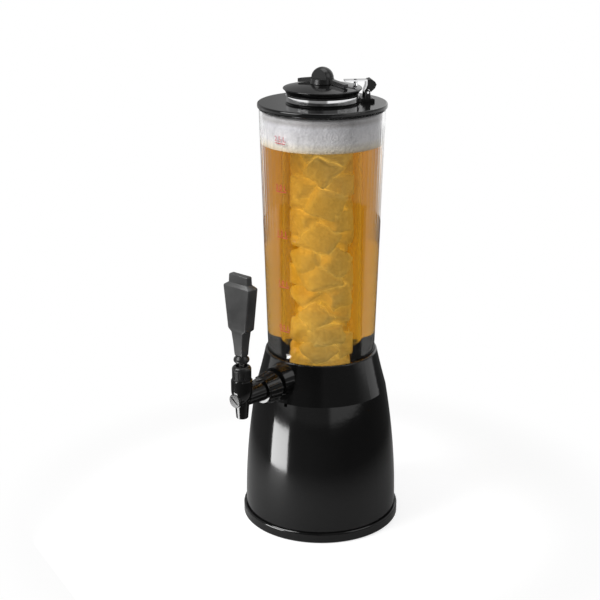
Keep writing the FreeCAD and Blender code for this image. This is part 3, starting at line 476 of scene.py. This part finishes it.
def ice_fill(mat):
    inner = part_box("ice_tube")[1][0] - ICE_CLEARANCE
    joined = bmesh.new()
    z = ICE_LOW + 12 * MM
    index = 0
    while z < ICE_TOP:
        for k in range(3):
            index += 1
            size = [random.uniform(20, 27) * MM for _ in range(3)]
            piece = lump(size, index)
            amount = random.uniform(0, math.pi)
            axis = Vector([random.uniform(-1, 1) for _ in range(3)]).normalized()
            turn = Matrix.Rotation(amount, 4, axis)
            angle = 2 * math.pi * k / 3 + random.uniform(-0.4, 0.4) + z * 60
            away = random.uniform(9, 12) * MM
            height = z + random.uniform(-4, 4) * MM
            place = Matrix.Translation((away * math.cos(angle), away * math.sin(angle), height))
            bmesh.ops.transform(piece, matrix=place @ turn, verts=piece.verts)
            for v in piece.verts:
                flat = math.hypot(v.co.x, v.co.y)
                if flat > inner:
                    v.co.x *= inner / flat
                    v.co.y *= inner / flat
                v.co.z = max(v.co.z, ICE_LOW)
            temp = bpy.data.meshes.new("temp")
            piece.to_mesh(temp)
            joined.from_mesh(temp)
            bpy.data.meshes.remove(temp)
            piece.free()
        z += ICE_LAYER
    mesh = bpy.data.meshes.new("ice_lumps")
    joined.to_mesh(mesh)
    joined.free()
    mesh.materials.append(mat)
    mesh.shade_smooth()
    obj = bpy.data.objects.new("ice_lumps", mesh)
    bpy.context.scene.collection.objects.link(obj)
    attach(obj, "ice_insert")


# Tap handle: block, ledge, tapering paddle and stem, and the ferrule under it.
# Millimetres: depth below the top, width and thickness; then radius and depth below the top.
HANDLE_SECTIONS = [
    (0.0, 22.6, 5.4), (0.9, 24.0, 6.6), (8.2, 24.5, 7.2), (11.1, 33.4, 12.0), (12.0, 34.2, 12.6),
    (52.4, 23.8, 12.8), (53.4, 22.6, 12.4), (56.0, 15.6, 12.4), (68.0, 12.4, 10.8),
    (79.6, 10.4, 9.4)]
FERRULE_PROFILE = [
    (5.4, 79.7), (5.9, 81.0), (7.4, 82.8), (7.7, 84.2), (7.4, 85.6), (6.1, 87.2), (5.6, 88.8)]


def tap_handle(mat):
    low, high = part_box("tap_handle")
    mid_x, mid_y = (low[0] + high[0]) / 2, (low[1] + high[1]) / 2
    verts = []
    for drop, width, thick in HANDLE_SECTIONS:
        x, y, cut = width / 2, thick / 2, min(width, thick) * 0.09
        ring = [(x, y - cut), (x - cut, y), (cut - x, y), (-x, y - cut),
                (-x, cut - y), (cut - x, -y), (x - cut, -y), (x, cut - y)]
        verts += [(mid_x + a * MM, mid_y + b * MM, high[2] - drop * MM) for a, b in ring]
    faces = [tuple(range(8))]
    for j in range(len(HANDLE_SECTIONS) - 1):
        for i in range(8):
            k = (i + 1) % 8
            faces.append((j * 8 + i, (j + 1) * 8 + i, (j + 1) * 8 + k, j * 8 + k))
    faces.append(tuple(reversed(range(len(verts) - 8, len(verts)))))
    piece = mesh_object("handle_paddle", verts, faces, mat)
    worn_edge = piece.modifiers.new("worn_edge", "BEVEL")
    worn_edge.width = 0.35 * MM
    worn_edge.segments = 2
    worn_edge.limit_method = "ANGLE"
    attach(piece, "handle")
    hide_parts("tap_handle")


def ferrule(mat):
    low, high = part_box("ferrule")
    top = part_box("tap_handle")[1][2]
    profile = [(AXIS_RADIUS, low[2])]
    profile += [(r * MM, max(top - z * MM, low[2])) for r, z in reversed(FERRULE_PROFILE)]
    profile += [(AXIS_RADIUS, top - FERRULE_PROFILE[0][1] * MM)]
    piece = lathe("handle_ferrule", profile, mat, steps=64)
    piece.data.transform(Matrix.Translation(((low[0] + high[0]) / 2, (low[1] + high[1]) / 2, 0)))
    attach(piece, "handle")
    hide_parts("ferrule")


# Volume marks: a number over a short line, wrapped on the tank at the tap side
def wrap_on_tank(obj, height):
    for v in obj.data.vertices:
        z = height + v.co.y
        radius = tank_inner(z) + TANK_WALL + MARK_LIFT + v.co.z
        angle = TAP_AZIMUTH + v.co.x / radius
        v.co = (radius * math.cos(angle), radius * math.sin(angle), z)


def volume_marks(mat):
    for text, height in zip(MARK_STEPS, MARK_HEIGHTS):
        curve = bpy.data.curves.new("mark", "FONT")
        curve.body = text + " L"
        curve.size = MARK_SIZE
        curve.align_x = "CENTER"
        curve.resolution_u = 3
        holder = bpy.data.objects.new("mark", curve)
        bpy.context.scene.collection.objects.link(holder)
        bpy.context.view_layer.update()
        shown = holder.evaluated_get(bpy.context.evaluated_depsgraph_get())
        mesh = bpy.data.meshes.new_from_object(shown)
        bpy.data.objects.remove(holder)
        bm = bmesh.new()
        bm.from_mesh(mesh)
        bmesh.ops.translate(bm, verts=bm.verts, vec=(0, MARK_RISE, 0))
        half = Vector((LINE_HALF_LENGTH, LINE_HALF_WIDTH, 0))
        signs = ((-1, -1), (1, -1), (1, 1), (-1, 1))
        bm.faces.new([bm.verts.new((x * half.x, y * half.y, 0)) for x, y in signs])
        long_edges = [e for e in bm.edges if e.calc_length() > 5 * MM]
        bmesh.ops.subdivide_edges(bm, edges=long_edges, cuts=8)
        bm.to_mesh(mesh)
        bm.free()
        name = "mark_" + text.replace(".", "_")
        mesh.name = name
        mesh.materials.clear()
        mesh.materials.append(mat)
        obj = bpy.data.objects.new(name, mesh)
        bpy.context.scene.collection.objects.link(obj)
        wrap_on_tank(obj, height)
        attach(obj, "tower")


# Stage: a round pale table top, a white surround and soft lamps
TABLE_RADIUS = 1.15
TABLE_FADE_START = 0.15
TABLE_FADE_END = 0.36
TABLE_STEPS = 96
FLOOR_LIFT = 0.74
BEHIND_REACH = 0.15
AMBIENT = 0.30
BACK_DIR = (-math.sin(CAM_AZIMUTH), math.cos(CAM_AZIMUTH), 0.0)
RIGHT_DIR = (math.cos(CAM_AZIMUTH), math.sin(CAM_AZIMUTH), 0.0)


def math_node(nodes, links, kind, first, second):
    node = nodes.new("ShaderNodeMath")
    node.operation = kind
    for socket, value in zip(node.inputs, (first, second)):
        if isinstance(value, (int, float)):
            socket.default_value = value
        else:
            links.new(value, socket)
    return node.outputs["Value"]


def table():
    mat, nodes, links, shader = material("pale_table")
    set_sockets(shader, Roughness=0.8)
    path = nodes.new("ShaderNodeLightPath").outputs
    coords = nodes.new("ShaderNodeTexCoord")
    away = nodes.new("ShaderNodeVectorMath")
    away.operation = "LENGTH"
    links.new(coords.outputs["Object"], away.inputs[0])
    fade = nodes.new("ShaderNodeMapRange")
    fade.interpolation_type = "SMOOTHSTEP"
    links.new(away.outputs["Value"], fade.inputs["Value"])
    fade.inputs["From Min"].default_value = TABLE_FADE_START
    fade.inputs["From Max"].default_value = TABLE_FADE_END
    grain = noise_node(nodes, links, 6.0, 4.0)
    # painted shade for reflections: the table's colour has a fine random grain and darkens from
    # 0.40 grey near the tower to 0.05 where the fade ends, so glossy surfaces mirror a dark studio
    # there while camera rays see the table lifted to white
    grain_and_far_shade = math_node(nodes, links, "MULTIPLY_ADD", grain.outputs["Fac"], 0.06)
    links.new(fade.outputs["Result"], grain_and_far_shade.node.inputs[2])
    colour = ramp(nodes, links, grain_and_far_shade, [(0.0, grey(0.40)), (1.0, grey(0.05))])
    links.new(colour.outputs["Color"], shader.inputs["Base Color"])
    behind = nodes.new("ShaderNodeVectorMath")
    behind.operation = "DOT_PRODUCT"
    behind.inputs[1].default_value = BACK_DIR
    links.new(coords.outputs["Object"], behind.inputs[0])
    past = nodes.new("ShaderNodeMapRange")
    past.interpolation_type = "SMOOTHSTEP"
    links.new(behind.outputs["Value"], past.inputs["Value"])
    past.inputs["From Max"].default_value = BEHIND_REACH
    seen = math_node(nodes, links, "MULTIPLY", path["Is Transmission Ray"], past.outputs["Result"])
    seen = math_node(nodes, links, "MAXIMUM", path["Is Camera Ray"], seen)
    lift = nodes.new("ShaderNodeEmission")
    links.new(math_node(nodes, links, "MULTIPLY", seen, FLOOR_LIFT), lift.inputs["Strength"])
    near = nodes.new("ShaderNodeAddShader")
    links.new(shader.outputs["BSDF"], near.inputs[0])
    links.new(lift.outputs["Emission"], near.inputs[1])
    white = nodes.new("ShaderNodeEmission")
    mix = nodes.new("ShaderNodeMixShader")
    share = math_node(nodes, links, "MULTIPLY", fade.outputs["Result"], seen)
    links.new(share, mix.inputs["Fac"])
    links.new(near.outputs["Shader"], mix.inputs[1])
    links.new(white.outputs["Emission"], mix.inputs[2])
    links.new(mix.outputs["Shader"], nodes["Material Output"].inputs["Surface"])
    turns = [2 * math.pi * i / TABLE_STEPS for i in range(TABLE_STEPS)]
    ring = [(TABLE_RADIUS * math.cos(turn), TABLE_RADIUS * math.sin(turn), 0) for turn in turns]
    floor = mesh_object("table_top", ring, [tuple(range(TABLE_STEPS))], mat, smooth=False)


def sky_part(nodes, links, direction, stops):
    # a brightness that depends on where in the studio a ray goes
    coords = nodes.new("ShaderNodeTexCoord")
    dot = nodes.new("ShaderNodeVectorMath")
    dot.operation = "DOT_PRODUCT"
    dot.inputs[1].default_value = direction
    links.new(coords.outputs["Generated"], dot.inputs[0])
    half = math_node(nodes, links, "MULTIPLY_ADD", dot.outputs["Value"], 0.5)
    half.node.inputs[2].default_value = 0.5
    greys = [(place, grey(value)) for place, value in stops]
    return ramp(nodes, links, half, greys).outputs["Color"]


def surround():
    world = bpy.data.worlds.new("studio")
    bpy.context.scene.world = world
    world.use_nodes = True
    nodes, links = world.node_tree.nodes, world.node_tree.links
    path = nodes.new("ShaderNodeLightPath").outputs
    glossy, through_glass = path["Is Glossy Ray"], path["Is Transmission Ray"]

    def joined(kind, first, second):
        return math_node(nodes, links, kind, first, second)

    room = sky_part(nodes, links, BACK_DIR, [
        (0.0, 0.13), (0.30, 0.16), (0.45, 0.36), (0.75, 0.5), (0.9, 1.0)])
    side = sky_part(nodes, links, RIGHT_DIR, [(0.0, 0.8), (0.40, 0.30), (0.48, 0.30), (0.56, 1.0)])
    seen = joined("MULTIPLY", room, side)
    low = sky_part(nodes, links, (0.0, 0.0, -1.0), [
        (0.5, 0.0), (0.53, 1.0), (0.595, 1.0), (0.604, 0.0)])
    walls = sky_part(nodes, links, RIGHT_DIR, [
        (0.13, 1.0), (0.18, 0.25), (0.60, 0.25), (0.66, 1.0)])
    seen = joined("MAXIMUM", seen, joined("MULTIPLY", low, walls))
    through = sky_part(nodes, links, BACK_DIR, [(0.0, 0.15), (0.6, 0.18), (0.84, 0.6), (0.95, 1.0)])
    mirrored = joined("MULTIPLY", glossy, seen)
    refracted = joined("MULTIPLY", through_glass, through)
    level = joined("MAXIMUM", mirrored, refracted)
    other = joined("MAXIMUM", glossy, through_glass)
    plain = joined("MULTIPLY", joined("SUBTRACT", 1.0, other), AMBIENT)
    level = joined("MAXIMUM", level, plain)
    level = joined("MAXIMUM", level, path["Is Camera Ray"])
    back = nodes["Background"]
    back.inputs["Color"].default_value = (1, 1, 1, 1)
    links.new(level, back.inputs["Strength"])


def area_light(name, place, target, size, size_y, glow):
    # glow is the lamp's surface brightness
    data = bpy.data.lights.new(name, "AREA")
    data.shape = "RECTANGLE"
    data.size = size
    data.size_y = size_y
    data.energy = glow * math.pi * size * size_y
    obj = bpy.data.objects.new(name, data)
    obj.location = place
    aim = Vector(target) - Vector(place)
    obj.rotation_euler = aim.to_track_quat("-Z", "Y").to_euler()
    obj.visible_camera = False
    bpy.context.scene.collection.objects.link(obj)


def around(azimuth_from_camera, distance, height):
    # a place seen at that angle to the right of the camera, from the tower
    angle = CAM_AZIMUTH - math.pi / 2 + math.radians(azimuth_from_camera)
    return (distance * math.cos(angle), distance * math.sin(angle), height)


def lights():
    area_light("low_left", around(-60, 0.29, 0.04), (0, 0, 0.04), 0.14, 0.076, 15.0)
    area_light("key_left", around(-62, 1.2, 1.1), (0, 0, 0.3), 0.8, 0.8, 9.0)
    area_light("fill_right", around(65, 1.3, 1.1), (0, 0, 0.3), 0.9, 0.8, 1.2)
    area_light("top", (0.0, 0.1, 1.7), (0, 0, 0.2), 1.2, 1.2, 1.8)


def camera():
    data = bpy.data.cameras.new("camera")
    data.sensor_width = SENSOR
    data.lens = SENSOR * CAM_FOCAL_PX / IMAGE_PX
    obj = bpy.data.objects.new("camera", data)
    sin, cos = math.sin(CAM_AZIMUTH), math.cos(CAM_AZIMUTH)
    obj.location = (CAM_DISTANCE * sin, -CAM_DISTANCE * cos, CAM_HEIGHT)
    flat = Vector((-sin, cos, 0))
    flat.rotate(Matrix.Rotation(CAM_YAW, 3, "Z"))
    look = flat * math.cos(CAM_PITCH) - Vector((0, 0, math.sin(CAM_PITCH)))
    obj.rotation_euler = look.to_track_quat("-Z", "Y").to_euler()
    bpy.context.scene.collection.objects.link(obj)
    bpy.context.scene.camera = obj
    bpy.context.scene.view_settings.view_transform = "Standard"


def main():
    finishes = dress_nodes()
    tap_handle(handle_black())
    ferrule(finishes["satin"])
    beer(beer_liquid())
    foam(beer_foam())
    ice_fill(ice())
    volume_marks(red_print())
    table()
    surround()
    lights()
    camera()


main()
